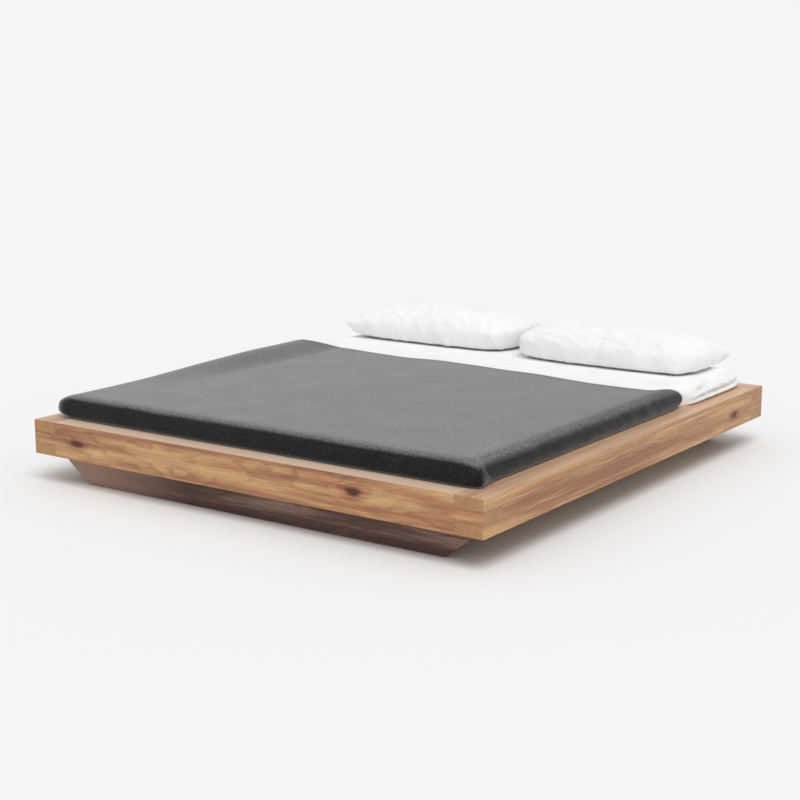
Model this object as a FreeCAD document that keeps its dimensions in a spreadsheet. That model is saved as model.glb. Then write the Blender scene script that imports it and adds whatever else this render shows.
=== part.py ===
import FreeCAD, Part
import math
import os
import Sketcher
from types import SimpleNamespace

# A low platform bed for two: four thick oak beams with finger-jointed corners on a
# set-back plinth, roll-out slatted bases inside, a mattress with its bedding on top.
# Millimetres, +Z up. The foot of the bed is at -Y, the head at +Y, the origin on the
# floor under the middle of the frame.

doc = FreeCAD.newDocument("PlatformBed")

SIZES = {
    # oak frame: the opening takes a mattress of this nominal size
    "bed_width": 1800,
    "bed_length": 2000,
    "beam_thick": 110,
    "beam_high": 132,
    "edge_break": 1.5,
    # plinth: two trapezoid skids, two rails and a cross rail on felt glides
    "glide_thick": 3,
    "glide_dia": 24,
    "skid_high": 109,
    "skid_thick": 30,
    "skid_setback": 80,
    "skid_top_inset": 53,
    "skid_bottom_inset": 197,
    "rail_inset": 345,
    "rail_thick": 30,
    "block_side": 40,
    "block_high": 90,
    # plates that tie the plinth to the beams, and the steel corner angles
    "plate_wide": 40,
    "plate_high": 80,
    "plate_offset": 75,
    "steel_thick": 3,
    "angle_leg": 60,
    "angle_high": 26,
    "angle_lift": 2,
    "angle_hole_near": 22,
    "angle_hole_far": 46,
    # carriers of the slats
    "lying_depth": 80,
    "ledger_thick": 30,
    "ledger_high": 28,
    "ledger_end_gap": 75,
    "ledger_screw_count": 6,
    "centre_wide": 60,
    "centre_high": 60,
    "hanger_reach": 60,
    "hanger_flange": 26,
    # slatted bases
    "slat_count": 14,
    "slat_wide": 90,
    "slat_thick": 20,
    "slat_end_gap": 20,
    "slat_side_gap": 5,
    "web_wide": 30,
    "web_thick": 1.5,
    "web_inset": 60,
    # wood screws
    "screw_dia": 5,
    "screw_bite": 22,
    "head_dia": 10,
    "head_high": 2.5,
    "hole_play": 0.2,
    # mattress and bedding
    "soft_gap": 0.3,
    "side_room": 8,
    "mattress_thick": 160,
    "mattress_corner": 60,
    "mattress_edge": 30,
    "sheet_thick": 1.5,
    "sheet_lip": 110,
    "blanket_thick": 4,
    "blanket_length": 1395,
    "blanket_overhang": 30,
    "blanket_tuck": 55,
    "blanket_corner": 36,
    "blanket_shoulder": 40,
    "blanket_hem": 18,
    "flap_reach": 100,
    "flap_drop": 20,
    "flap_thick": 3,
    # pillows
    "pillow_wide": 900,
    "pillow_deep": 430,
    "pillow_high": 165,
    "pillow_seam": 60,
    "pillow_rim": 10,
    "pillow_waist": 22,
    "case_thick": 1.2,
    "pillow_apart": 4,
    "pillow_left_back": 5,
    "pillow_right_back": 65,
}


class Size:
    """A length that knows its number and the expression that gives it in the document."""

    def __init__(self, value, text):
        self.value = value
        self.text = text

    def joined(self, other, sign, value):
        return Size(value, f"({self.text} {sign} {as_size(other).text})")

    def __add__(self, other):
        return self.joined(other, "+", self.value + as_size(other).value)

    def __sub__(self, other):
        return self.joined(other, "-", self.value - as_size(other).value)

    def __mul__(self, other):
        return self.joined(other, "*", self.value * as_size(other).value)

    def __truediv__(self, other):
        return self.joined(other, "/", self.value / as_size(other).value)

    def __radd__(self, other):
        return as_size(other) + self

    def __rsub__(self, other):
        return as_size(other) - self

    def __rmul__(self, other):
        return as_size(other) * self


def as_size(number):
    return number if isinstance(number, Size) else Size(float(number), str(number))


sheet = doc.addObject("Spreadsheet::Sheet", "Sizes")
for row, (alias, number) in enumerate(SIZES.items(), start=1):
    sheet.set(f"A{row}", alias)
    sheet.set(f"B{row}", str(number))
    sheet.setAlias(f"B{row}", alias)
doc.recompute()
s = SimpleNamespace(**{alias: Size(float(sheet.get(alias)), f"Sizes.{alias}") for alias in SIZES})

# Places, measured from the frame's foot-left corner at floor level. Every piece is drawn
# from that corner, and its Placement carries it to the centred origin.
frameWidth = s.bed_width + 2 * s.beam_thick
frameLength = s.bed_length + 2 * s.beam_thick
middleX = frameWidth / 2
middleY = frameLength / 2
beamBase = s.glide_thick + s.skid_high
beamTop = beamBase + s.beam_high
slatTop = beamTop - s.lying_depth
slatBase = slatTop - s.slat_thick
skidInner = s.skid_setback + s.skid_thick
railInner = s.rail_inset + s.rail_thick
centreBase = slatBase - s.centre_high
pilotDia = s.screw_dia + s.hole_play

PLANES = {"X": "YZ_Plane", "Y": "XZ_Plane", "Z": "XY_Plane"}
NORMALS = {"X": 1, "Y": -1, "Z": 1}
pieces = []


def bind(thing, path, size):
    thing.setExpression(path, as_size(size).text)


def place(thing):
    """Carry a piece from the corner that it is drawn from to the bed's centred origin."""
    bind(thing, "Placement.Base.x", 0 - middleX)
    bind(thing, "Placement.Base.y", 0 - middleY)


def newBody(label):
    body = doc.addObject("PartDesign::Body", label)
    body.Label = label
    body.AllowCompound = True
    place(body)
    pieces.append(body)
    return body


def sketchOn(body, axis, level):
    """A sketch square to an axis, at a level along it."""
    sketch = body.newObject("Sketcher::SketchObject", "Sketch")
    plane = next(f for f in body.Origin.OriginFeatures if f.Role == PLANES[axis])
    sketch.AttachmentSupport = [(plane, "")]
    sketch.MapMode = "FlatFace"
    bind(sketch, "AttachmentOffset.Base.z", NORMALS[axis] * as_size(level))
    sketch.addProperty("App::PropertyString", "Axis")
    sketch.Axis = axis
    return sketch


def pin(sketch, geometry, point, x, y):
    """Hold one sketch point at its two coordinates."""
    for kind, coordinate in (("DistanceX", x), ("DistanceY", y)):
        size = as_size(coordinate)
        if size.text == "0":
            sketch.addConstraint(Sketcher.Constraint("PointOnObject", geometry, point,
                                                     -2 if kind == "DistanceX" else -1))
            continue
        index = sketch.addConstraint(Sketcher.Constraint(kind, -1, 1, geometry, point, size.value))
        bind(sketch, f"Constraints[{index}]", size)


def outline(sketch, corners):
    """A closed outline of straight lines through its corners."""
    first = sketch.GeometryCount
    values = [FreeCAD.Vector(as_size(x).value, as_size(y).value, 0) for x, y in corners]
    for start, end in zip(values, values[1:] + values[:1]):
        sketch.addGeometry(Part.LineSegment(start, end))
    for number, (x, y) in enumerate(corners):
        follower = first + number
        leader = first + (number - 1) % len(corners)
        sketch.addConstraint(Sketcher.Constraint("Coincident", leader, 2, follower, 1))
        pin(sketch, follower, 1, x, y)


def rectangle(sketch, left, right, low, high):
    outline(sketch, [(left, low), (right, low), (right, high), (left, high)])


def circles(sketch, centres, diameter):
    for x, y in centres:
        spot = FreeCAD.Vector(as_size(x).value, as_size(y).value, 0)
        circle = Part.Circle(spot, FreeCAD.Vector(0, 0, 1), diameter.value / 2)
        index = sketch.addGeometry(circle)
        pin(sketch, index, 3, x, y)
        number = sketch.addConstraint(Sketcher.Constraint("Diameter", index, diameter.value))
        bind(sketch, f"Constraints[{number}]", diameter)


def pad(body, sketch, length, toward=1):
    """Extrude a sketch along its axis, toward +1 or -1."""
    feature = body.newObject("PartDesign::Pad", "Pad")
    feature.Profile = sketch
    feature.Reversed = toward * NORMALS[sketch.Axis] < 0
    bind(feature, "Length", length)
    doc.recompute()
    return feature


def pocket(body, sketch, depth, toward=1):
    """Cut a sketch into the body along its axis, toward +1 or -1."""
    before = body.Shape.Volume
    feature = body.newObject("PartDesign::Pocket", "Pocket")
    feature.Profile = sketch
    feature.Reversed = toward * NORMALS[sketch.Axis] > 0
    bind(feature, "Length", depth)
    doc.recompute()
    if body.Shape.Volume > before - 1:
        raise RuntimeError(f"{body.Label}: a pocket cuts nothing")
    return feature


def board(label, x, y, z):
    """A straight board between two levels along each axis."""
    body = newBody(label)
    base = sketchOn(body, "Z", z[0])
    rectangle(base, x[0], x[1], y[0], y[1])
    pad(body, base, z[1] - z[0])
    return body


def bore(body, axis, level, centres, diameter, depth, toward):
    holes = sketchOn(body, axis, level)
    circles(holes, centres, diameter)
    pocket(body, holes, depth, toward)


def screws(body, axis, face, centres, length, toward):
    """Pan-head wood screws whose heads sit on a face, with their shanks going toward."""
    shanks = sketchOn(body, axis, face)
    circles(shanks, centres, s.screw_dia)
    pad(body, shanks, length, toward)
    heads = sketchOn(body, axis, face)
    circles(heads, centres, s.head_dia)
    pad(body, heads, s.head_high, -toward)


def mirrorX(x):
    return frameWidth - x


def mirrorY(y):
    return frameLength - y


def even(start, end, count):
    """Evenly spaced places between two limits, half a step in from each."""
    step = (end - start) / count
    return [start + step * (number + 0.5) for number in range(int(count.value))]


# Oak frame: a middle tongue or a pair of outer fingers at each beam end. The foot beam's
# tongues run through to the side faces, and so do the head beam's outer fingers.
def easeEdges(body):
    """Break the edges that lie on the frame's outer corners, and no joint line."""
    limits = ((0, frameWidth.value), (0, frameLength.value), (beamBase.value, beamTop.value))
    names = []
    solid = body.Tip
    for number, edge in enumerate(solid.Shape.Edges, start=1):
        centre = edge.CenterOfMass
        outer = [any(abs(value - limit) < 1e-3 for limit in pair)
                 for value, pair in zip((centre.x, centre.y, centre.z), limits)]
        if sum(outer) >= 2:
            names.append(f"Edge{number}")
    chamfer = body.newObject("PartDesign::Chamfer", "Chamfer")
    chamfer.Base = (solid, names)
    bind(chamfer, "Size", s.edge_break)
    doc.recompute()


def fingerBeam(label, axis, level, length, startTongue, endTongue):
    body = newBody(label)
    finger = s.beam_high / 3
    low, first, second, high = (beamBase, beamBase + finger, beamTop - finger, beamTop)
    t = s.beam_thick
    if endTongue:
        end = [(length - t, low), (length - t, first), (length, first),
               (length, second), (length - t, second), (length - t, high)]
    else:
        end = [(length, low), (length, first), (length - t, first),
               (length - t, second), (length, second), (length, high)]
    if startTongue:
        start = [(t, high), (t, second), (0, second), (0, first), (t, first), (t, low)]
    else:
        start = [(0, high), (0, second), (t, second), (t, first), (0, first), (0, low)]
    profile = sketchOn(body, axis, level)
    outline(profile, end + start)
    pad(body, profile, t)
    easeEdges(body)
    return body


foot_beam = fingerBeam("foot_beam", "Y", 0, frameWidth, True, True)
head_beam = fingerBeam("head_beam", "Y", mirrorY(s.beam_thick), frameWidth, False, False)
side_beam_left = fingerBeam("side_beam_left", "X", 0, frameLength, False, True)
side_beam_right = fingerBeam("side_beam_right", "X", mirrorX(s.beam_thick), frameLength, False, True)


# Plinth: two trapezoid skids carry the beams, tied by two rails and a cross rail.
def skid(label, level):
    body = newBody(label)
    profile = sketchOn(body, "Y", level)
    outline(profile, [(s.skid_bottom_inset, s.glide_thick),
                      (mirrorX(s.skid_bottom_inset), s.glide_thick),
                      (mirrorX(s.skid_top_inset), beamBase),
                      (s.skid_top_inset, beamBase)])
    pad(body, profile, s.skid_thick)
    return body


foot_skid = skid("foot_skid", s.skid_setback)
head_skid = skid("head_skid", mirrorY(skidInner))
railSpan = (skidInner, mirrorY(skidInner))
plinth_rail_left = board("plinth_rail_left", (s.rail_inset, railInner), railSpan,
                         (s.glide_thick, beamBase))
plinth_rail_right = board("plinth_rail_right", (mirrorX(railInner), mirrorX(s.rail_inset)),
                          railSpan, (s.glide_thick, beamBase))
crossHalf = s.rail_thick / 2
plinth_crossrail = board("plinth_crossrail", (railInner, mirrorX(railInner)),
                         (middleY - crossHalf, middleY + crossHalf), (s.glide_thick, centreBase))

# The cross rail's ends are screwed through the rails, two screws a side.
crossLevels = [s.glide_thick + (centreBase - s.glide_thick) * share for share in (0.3, 0.7)]
crossSpots = [(middleY, level) for level in crossLevels]
crossrail_screws = newBody("crossrail_screws")
crossDepth = s.rail_thick + s.screw_bite
for railFace, rail, toward in ((s.rail_inset, plinth_rail_left, 1),
                               (mirrorX(s.rail_inset), plinth_rail_right, -1)):
    bore(rail, "X", railFace, crossSpots, pilotDia, s.rail_thick, toward)
    bore(plinth_crossrail, "X", railFace, crossSpots, pilotDia, crossDepth, toward)
    screws(crossrail_screws, "X", railFace, crossSpots, crossDepth, toward)

# Corner blocks hold skids and rails together from inside, so that no screw shows.
blockBase = s.glide_thick + (s.skid_high - s.block_high) / 2
blockTop = blockBase + s.block_high
blockSpan = s.block_side
throughDepth = s.block_side + s.screw_bite
plinth_blocks = newBody("plinth_blocks")
blockCentres = [railInner + blockSpan / 2, mirrorX(railInner) - blockSpan / 2]
blockRows = [skidInner + blockSpan / 2, mirrorY(skidInner) - blockSpan / 2]
blockPlan = sketchOn(plinth_blocks, "Z", blockBase)
for x in blockCentres:
    for y in blockRows:
        rectangle(blockPlan, x - blockSpan / 2, x + blockSpan / 2, y - blockSpan / 2, y + blockSpan / 2)
pad(plinth_blocks, blockPlan, s.block_high)

plinth_block_screws = newBody("plinth_block_screws")
lowLevel = blockBase + s.block_high / 4
highLevel = blockTop - s.block_high / 4
skidSpots = [(x, lowLevel) for x in blockCentres]
railSpots = [(y, highLevel) for y in blockRows]
for wood, face, toward in ((foot_skid, skidInner + blockSpan, -1),
                           (head_skid, mirrorY(skidInner) - blockSpan, 1)):
    bore(plinth_blocks, "Y", face, skidSpots, pilotDia, s.block_side, toward)
    bore(wood, "Y", face, skidSpots, pilotDia, throughDepth, toward)
    screws(plinth_block_screws, "Y", face, skidSpots, throughDepth, toward)
for wood, face, toward in ((plinth_rail_left, railInner + blockSpan, -1),
                           (plinth_rail_right, mirrorX(railInner) - blockSpan, 1)):
    bore(plinth_blocks, "X", face, railSpots, pilotDia, s.block_side, toward)
    bore(wood, "X", face, railSpots, pilotDia, throughDepth, toward)
    screws(plinth_block_screws, "X", face, railSpots, throughDepth, toward)

# Flat steel plates across the joint of skid and beam, whose inner faces are flush.
plinth_plates = newBody("plinth_plates")
plate_screws = newBody("plate_screws")
plateFirst = railInner + s.block_side + s.plate_offset + s.plate_wide / 2
plateCentres = [plateFirst, mirrorX(plateFirst)]
plateSpots = [(x, beamBase + shift) for x in plateCentres
              for shift in (0 - s.plate_high / 4, s.plate_high / 4)]
plateDepth = s.steel_thick + s.screw_bite
for face, skidBody, beamBody, toward in ((skidInner, foot_skid, foot_beam, -1),
                                         (mirrorY(skidInner), head_skid, head_beam, 1)):
    outer = face - toward * s.steel_thick
    plan = sketchOn(plinth_plates, "Y", face)
    for x in plateCentres:
        rectangle(plan, x - s.plate_wide / 2, x + s.plate_wide / 2,
                  beamBase - s.plate_high / 2, beamBase + s.plate_high / 2)
    pad(plinth_plates, plan, s.steel_thick, -toward)
    bore(plinth_plates, "Y", outer, plateSpots, pilotDia, s.steel_thick, toward)
    lower = [spot for spot in plateSpots if spot[1].value < beamBase.value]
    upper = [spot for spot in plateSpots if spot[1].value > beamBase.value]
    bore(skidBody, "Y", outer, lower, pilotDia, plateDepth, toward)
    bore(beamBody, "Y", outer, upper, pilotDia, plateDepth, toward)
    screws(plate_screws, "Y", outer, plateSpots, plateDepth, toward)

# Steel angles inside the four corners, under the slats.
angleBase = beamBase + s.angle_lift
angleLevel = angleBase + s.angle_high / 2
bracket_screws = newBody("bracket_screws")
legSpots = (s.beam_thick + s.angle_hole_near, s.beam_thick + s.angle_hole_far)
angleDepth = s.steel_thick + s.screw_bite


def cornerAngle(label, flipX, flipY, crossBeam, sideBeam):
    x = mirrorX if flipX else (lambda size: size)
    y = mirrorY if flipY else (lambda size: size)
    inner = s.beam_thick
    face = inner + s.steel_thick
    tip = inner + s.angle_leg
    body = newBody(label)
    plan = sketchOn(body, "Z", angleBase)
    outline(plan, [(x(inner), y(inner)), (x(tip), y(inner)), (x(tip), y(face)),
                   (x(face), y(face)), (x(face), y(tip)), (x(inner), y(tip))])
    pad(body, plan, s.angle_high)
    crossSpots = [(x(spot), angleLevel) for spot in legSpots]
    sideSpots = [(y(spot), angleLevel) for spot in legSpots]
    crossToward = 1 if flipY else -1
    sideToward = 1 if flipX else -1
    bore(body, "Y", y(face), crossSpots, pilotDia, s.steel_thick, crossToward)
    bore(body, "X", x(face), sideSpots, pilotDia, s.steel_thick, sideToward)
    bore(crossBeam, "Y", y(face), crossSpots, pilotDia, angleDepth, crossToward)
    bore(sideBeam, "X", x(face), sideSpots, pilotDia, angleDepth, sideToward)
    screws(bracket_screws, "Y", y(face), crossSpots, angleDepth, crossToward)
    screws(bracket_screws, "X", x(face), sideSpots, angleDepth, sideToward)


cornerAngle("corner_bracket_foot_left", False, False, foot_beam, side_beam_left)
cornerAngle("corner_bracket_foot_right", True, False, foot_beam, side_beam_right)
cornerAngle("corner_bracket_head_left", False, True, head_beam, side_beam_left)
cornerAngle("corner_bracket_head_right", True, True, head_beam, side_beam_right)

# Ledgers on the side beams, each with a row of screws.
ledgerInner = s.beam_thick + s.ledger_thick
ledgerStart = s.beam_thick + s.ledger_end_gap
ledgerSpan = (ledgerStart, mirrorY(ledgerStart))
ledgerLevels = (slatBase - s.ledger_high, slatBase)
ledgerSpots = [(y, slatBase - s.ledger_high / 2)
               for y in even(ledgerStart, mirrorY(ledgerStart), s.ledger_screw_count)]
ledgerDepth = s.ledger_thick + s.screw_bite
ledger_screws = newBody("ledger_screws")
for label, edges, sideBeam, face, toward in (
        ("ledger_left", (s.beam_thick, ledgerInner), side_beam_left, ledgerInner, -1),
        ("ledger_right", (mirrorX(ledgerInner), mirrorX(s.beam_thick)), side_beam_right,
         mirrorX(ledgerInner), 1)):
    ledger = board(label, edges, ledgerSpan, ledgerLevels)
    bore(ledger, "X", face, ledgerSpots, pilotDia, s.ledger_thick, toward)
    bore(sideBeam, "X", face, ledgerSpots, pilotDia, ledgerDepth, toward)
    screws(ledger_screws, "X", face, ledgerSpots, ledgerDepth, toward)

# Centre beam in two steel hangers; the cross rail carries its middle.
centreHalf = s.centre_wide / 2
centreStart = s.beam_thick + s.steel_thick + s.soft_gap
centre_beam = board("centre_beam", (middleX - centreHalf, middleX + centreHalf),
                    (centreStart, mirrorY(centreStart)), (centreBase, slatBase))
hanger_screws = newBody("hanger_screws")
cheekInner = centreHalf + s.soft_gap
cheekOuter = cheekInner + s.steel_thick
flangeOuter = cheekOuter + s.hanger_flange
hangerTop = slatBase - s.web_thick
shelfBase = centreBase - s.steel_thick
hangerSpots = [(middleX + side * (cheekOuter + s.hanger_flange / 2), (beamBase + hangerTop) / 2)
               for side in (-1, 1)]
for label, wall, crossBeam, toward in (("beam_hanger_foot", s.beam_thick, foot_beam, -1),
                                       ("beam_hanger_head", mirrorY(s.beam_thick), head_beam, 1)):
    hanger = newBody(label)
    shoe = sketchOn(hanger, "Y", wall)
    outline(shoe, [(middleX - cheekOuter, shelfBase), (middleX + cheekOuter, shelfBase),
                   (middleX + cheekOuter, hangerTop), (middleX + cheekInner, hangerTop),
                   (middleX + cheekInner, centreBase), (middleX - cheekInner, centreBase),
                   (middleX - cheekInner, hangerTop), (middleX - cheekOuter, hangerTop)])
    pad(hanger, shoe, s.hanger_reach, -toward)
    back = sketchOn(hanger, "Y", wall)
    rectangle(back, middleX - flangeOuter, middleX + flangeOuter, shelfBase, hangerTop)
    pad(hanger, back, s.steel_thick, -toward)
    face = wall - toward * s.steel_thick
    bore(hanger, "Y", face, hangerSpots, pilotDia, s.steel_thick, toward)
    bore(crossBeam, "Y", face, hangerSpots, pilotDia, angleDepth, toward)
    screws(hanger_screws, "Y", face, hangerSpots, angleDepth, toward)

# Felt glides: four under each skid, two under each rail, one under the cross rail.
felt_glides = newBody("felt_glides")
glideSpots = []
for y in (s.skid_setback + s.skid_thick / 2, mirrorY(s.skid_setback + s.skid_thick / 2)):
    for share in (0.04, 0.34, 0.66, 0.96):
        glideSpots.append((s.skid_bottom_inset + (frameWidth - 2 * s.skid_bottom_inset) * share, y))
for x in (s.rail_inset + s.rail_thick / 2, mirrorX(s.rail_inset + s.rail_thick / 2)):
    for share in (0.3, 0.7):
        glideSpots.append((x, frameLength * share))
glideSpots.append((middleX, middleY))
glidePlan = sketchOn(felt_glides, "Z", 0)
circles(glidePlan, glideSpots, s.glide_dia)
pad(felt_glides, glidePlan, s.glide_thick)


# Slatted bases: a row of loose slats on two tapes, one base each side of the centre beam.
slatStart = s.beam_thick + s.slat_end_gap
slatRun = frameLength - 2 * slatStart


def slatRow(label, left, right):
    body = newBody(label)
    plan = sketchOn(body, "Z", slatBase)
    rectangle(plan, left, right, slatStart, slatStart + s.slat_wide)
    first = pad(body, plan, s.slat_thick)
    row = body.newObject("PartDesign::LinearPattern", "LinearPattern")
    row.Originals = [first]
    row.Direction = (plan, ["V_Axis"])
    bind(row, "Length", slatRun - s.slat_wide)
    bind(row, "Occurrences", s.slat_count)
    body.Tip = row
    doc.recompute()


def webbing(label, left, right):
    body = newBody(label)
    plan = sketchOn(body, "Z", slatBase)
    for start in (left + s.web_inset, right - s.web_inset - s.web_wide):
        rectangle(plan, start, start + s.web_wide, slatStart, slatStart + slatRun)
    pad(body, plan, s.web_thick, -1)


slatOuter = s.beam_thick + s.slat_side_gap
slatInner = middleX - s.slat_side_gap
slatRow("slats_left", slatOuter, slatInner)
slatRow("slats_right", mirrorX(slatInner), mirrorX(slatOuter))
webbing("webbing_left", slatOuter, slatInner)
webbing("webbing_right", mirrorX(slatInner), mirrorX(slatOuter))


# Soft pieces: a mattress in a fitted sheet, a blanket tucked around it, two cased pillows.
def addSoft(label, shape):
    soft = doc.addObject("Part::Feature", label)
    soft.Label = label
    soft.Shape = shape
    soft.Placement = FreeCAD.Placement(FreeCAD.Vector(-middleX.value, -middleY.value, 0),
                                       FreeCAD.Rotation())
    pieces.append(soft)


def softBlock(x, y, z, corner, top, bottom):
    """A block with rounded upright corners and rounded top and bottom edges."""
    block = Part.makeBox(x[1] - x[0], y[1] - y[0], z[1] - z[0], FreeCAD.Vector(x[0], y[0], z[0]))
    upright = [edge for edge in block.Edges if edge.BoundBox.ZLength > 1]
    block = block.makeFillet(corner, upright)
    for level, radius in ((z[1], top), (z[0], bottom)):
        if radius > 0:
            rim = [edge for edge in block.Edges
                   if edge.BoundBox.ZLength < 1e-3 and abs(edge.BoundBox.ZMin - level) < 1e-3]
            block = block.makeFillet(radius, rim)
    return block


def grown(box, amount):
    return [(low - amount, high + amount) for low, high in box]


sheetStep = s.soft_gap.value + s.sheet_thick.value
inset = s.beam_thick.value + s.side_room.value
mattressBase = slatTop.value + sheetStep + s.soft_gap.value
mattressBox = [(inset, frameWidth.value - inset), (inset, frameLength.value - inset),
               (mattressBase, mattressBase + s.mattress_thick.value)]
cornerRound = s.mattress_corner.value
edgeRound = s.mattress_edge.value


def mattressForm(amount):
    """The mattress block grown evenly all round."""
    return softBlock(*grown(mattressBox, amount), cornerRound + amount, edgeRound + amount,
                     edgeRound + amount)


addSoft("mattress", mattressForm(0))

# The sheet is a thin skin with an elastic lip turned under the mattress.
lip = s.sheet_lip.value
opening = Part.makeBox(mattressBox[0][1] - mattressBox[0][0] - 2 * lip,
                       mattressBox[1][1] - mattressBox[1][0] - 2 * lip, edgeRound,
                       FreeCAD.Vector(inset + lip, inset + lip, slatTop.value - edgeRound / 2))
addSoft("fitted_sheet", mattressForm(sheetStep).cut(mattressForm(s.soft_gap.value)).cut(opening))

# The blanket swells over the beams' inner edges, lies on them and goes down beside the
# mattress. Its skin has one thickness, and its sides close in a rounded end at the head edge.
blanketInner = sheetStep + s.soft_gap.value
skin = s.blanket_thick.value
overhang = s.beam_thick.value - s.blanket_overhang.value
blanketFoot = overhang
blanketHead = blanketFoot + s.blanket_length.value
blanketTop = mattressBox[2][1] + blanketInner + skin
swellBox = [(overhang, frameWidth.value - overhang), (blanketFoot, blanketHead),
            (beamTop.value + s.soft_gap.value, blanketTop)]
shoulder = s.blanket_shoulder.value
hem = s.blanket_hem.value
swell = softBlock(*swellBox, s.blanket_corner.value, shoulder, hem)
hollow = softBlock(*grown(swellBox, -skin), s.blanket_corner.value - skin, shoulder - skin,
                   hem - skin)
tuckTop = swellBox[2][0] + hem
tuckBase = beamTop.value - s.blanket_tuck.value
tuckSide = inset - blanketInner - skin
tuck = softBlock((tuckSide, frameWidth.value - tuckSide),
                 (tuckSide, blanketHead - s.blanket_corner.value), (tuckBase, tuckTop),
                 cornerRound + blanketInner + skin, 0, 0)
bodyBox = grown(mattressBox, blanketInner)
bodyBlock = softBlock(*bodyBox, cornerRound + blanketInner, edgeRound + blanketInner,
                      edgeRound + blanketInner)
cloth = swell.fuse(tuck).cut(hollow).cut(bodyBlock)

# Envelope corners: the foot panel's cloth folds round onto each side in a triangle.
flapSkin = softBlock(*grown(swellBox, s.flap_thick.value)[:2],
                     (swellBox[2][0], blanketTop + s.flap_thick.value),
                     s.blanket_corner.value + s.flap_thick.value,
                     shoulder + s.flap_thick.value, hem)
flapSkin = flapSkin.cut(swell)
flapTop = blanketTop - s.flap_drop.value
flapCorners = [FreeCAD.Vector(0, blanketFoot + s.blanket_corner.value, flapTop),
               FreeCAD.Vector(0, blanketFoot + s.flap_reach.value, swellBox[2][0]),
               FreeCAD.Vector(0, blanketFoot + s.blanket_corner.value, swellBox[2][0])]
triangle = Part.Face(Part.makePolygon(flapCorners + flapCorners[:1]))
for start in (0, middleX.value):
    wedge = triangle.copy()
    wedge.translate(FreeCAD.Vector(start, 0, 0))
    cloth = cloth.fuse(wedge.extrude(FreeCAD.Vector(middleX.value, 0, 0)).common(flapSkin))
addSoft("blanket", cloth.removeSplitter())


# Pillows: full in the middle, thin at the seam all round, with the long sides drawn in.
def pillowForm(x, y, z, shrink):
    half = s.pillow_wide.value / 2 - shrink
    depth = s.pillow_deep.value / 2 - shrink
    rim = s.pillow_rim.value / 2 - shrink
    over = s.pillow_high.value - s.pillow_seam.value - shrink
    under = s.pillow_seam.value - shrink
    wires = []
    for share in (-1, -0.93, -0.75, -0.4, 0, 0.4, 0.75, 0.93, 1):
        fill = math.sqrt(1 - abs(share) ** 2.6)
        reach = depth - s.pillow_waist.value * (1 - share * share)
        at = x + half * share
        front = FreeCAD.Vector(at, y - reach, z)
        back = FreeCAD.Vector(at, y + reach, z)
        crown = FreeCAD.Vector(at, y, z + rim + (over - rim) * fill)
        belly = FreeCAD.Vector(at, y, z - rim - (under - rim) * fill)
        top = Part.Arc(front, crown, back).toShape()
        low = Part.Arc(back, belly, front).toShape()
        wires.append(Part.Wire([top, low]))
    return Part.makeLoft(wires, True, False)


def lowest(shape):
    points, facets = shape.tessellate(0.1)
    return min(point.z for point in points)


# Each pillow's seam lies at the height that sets the lowest point of its case on the sheet.
pillowRest = mattressBox[2][1] + blanketInner
caseStep = s.case_thick.value
pillowShift = (s.pillow_wide.value + s.pillow_apart.value) / 2
backWall = frameLength.value - s.pillow_deep.value / 2
for side, direction, back in (("left", -1, s.pillow_left_back.value),
                              ("right", 1, s.pillow_right_back.value)):
    x = middleX.value + direction * pillowShift
    y = backWall - back
    seam = pillowRest - lowest(pillowForm(x, y, 0, 0))
    case = pillowForm(x, y, seam, 0).cut(pillowForm(x, y, seam, caseStep))
    addSoft(f"pillowcase_{side}", case)
    addSoft(f"pillow_{side}", pillowForm(x, y, seam, caseStep + s.soft_gap.value))

doc.recompute()

# Nothing is written unless every object and every piece is sound.
for thing in doc.Objects:
    if "Invalid" in thing.State or "Error" in thing.State:
        raise RuntimeError(f"{thing.Label} failed")
for piece in pieces:
    if piece.Shape.isNull() or not piece.Shape.isValid() or not piece.Shape.Solids:
        raise RuntimeError(f"{piece.Label} has no sound solid")

os.makedirs("parts", exist_ok=True)
for piece in pieces:
    box = piece.Shape.BoundBox
    print(f"{piece.Label}: {len(piece.Shape.Solids)} solids, "
          f"{box.XLength:.1f} x {box.YLength:.1f} x {box.ZLength:.1f} mm")
    piece.Shape.exportStep(f"parts/{piece.Label}.step")
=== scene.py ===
import bisect
import functools
import math

import bmesh
import bpy
from mathutils import Matrix, Vector, noise
from mathutils.geometry import interpolate_bezier


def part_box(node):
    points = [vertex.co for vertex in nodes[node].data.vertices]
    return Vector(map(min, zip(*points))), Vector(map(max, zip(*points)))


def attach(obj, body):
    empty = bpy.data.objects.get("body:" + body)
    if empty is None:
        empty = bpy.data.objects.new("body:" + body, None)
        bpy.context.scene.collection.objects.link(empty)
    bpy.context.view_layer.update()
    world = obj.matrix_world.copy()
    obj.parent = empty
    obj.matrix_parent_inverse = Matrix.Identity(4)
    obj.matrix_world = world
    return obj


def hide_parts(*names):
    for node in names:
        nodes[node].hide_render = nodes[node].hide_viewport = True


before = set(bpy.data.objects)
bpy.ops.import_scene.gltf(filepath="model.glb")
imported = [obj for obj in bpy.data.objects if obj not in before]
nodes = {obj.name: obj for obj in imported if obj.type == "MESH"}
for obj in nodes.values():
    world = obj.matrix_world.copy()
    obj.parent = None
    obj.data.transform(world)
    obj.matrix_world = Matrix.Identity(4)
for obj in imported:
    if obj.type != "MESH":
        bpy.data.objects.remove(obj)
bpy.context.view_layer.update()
print("frame loaded,", len(nodes), "nodes")


def linear(hexColour):  # "#rrggbb" in sRGB to linear RGBA
    parts = [int(hexColour[i:i + 2], 16) / 255 for i in (1, 3, 5)]
    return [c / 12.92 if c <= 0.04045 else ((c + 0.055) / 1.055) ** 2.4 for c in parts] + [1]


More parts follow.
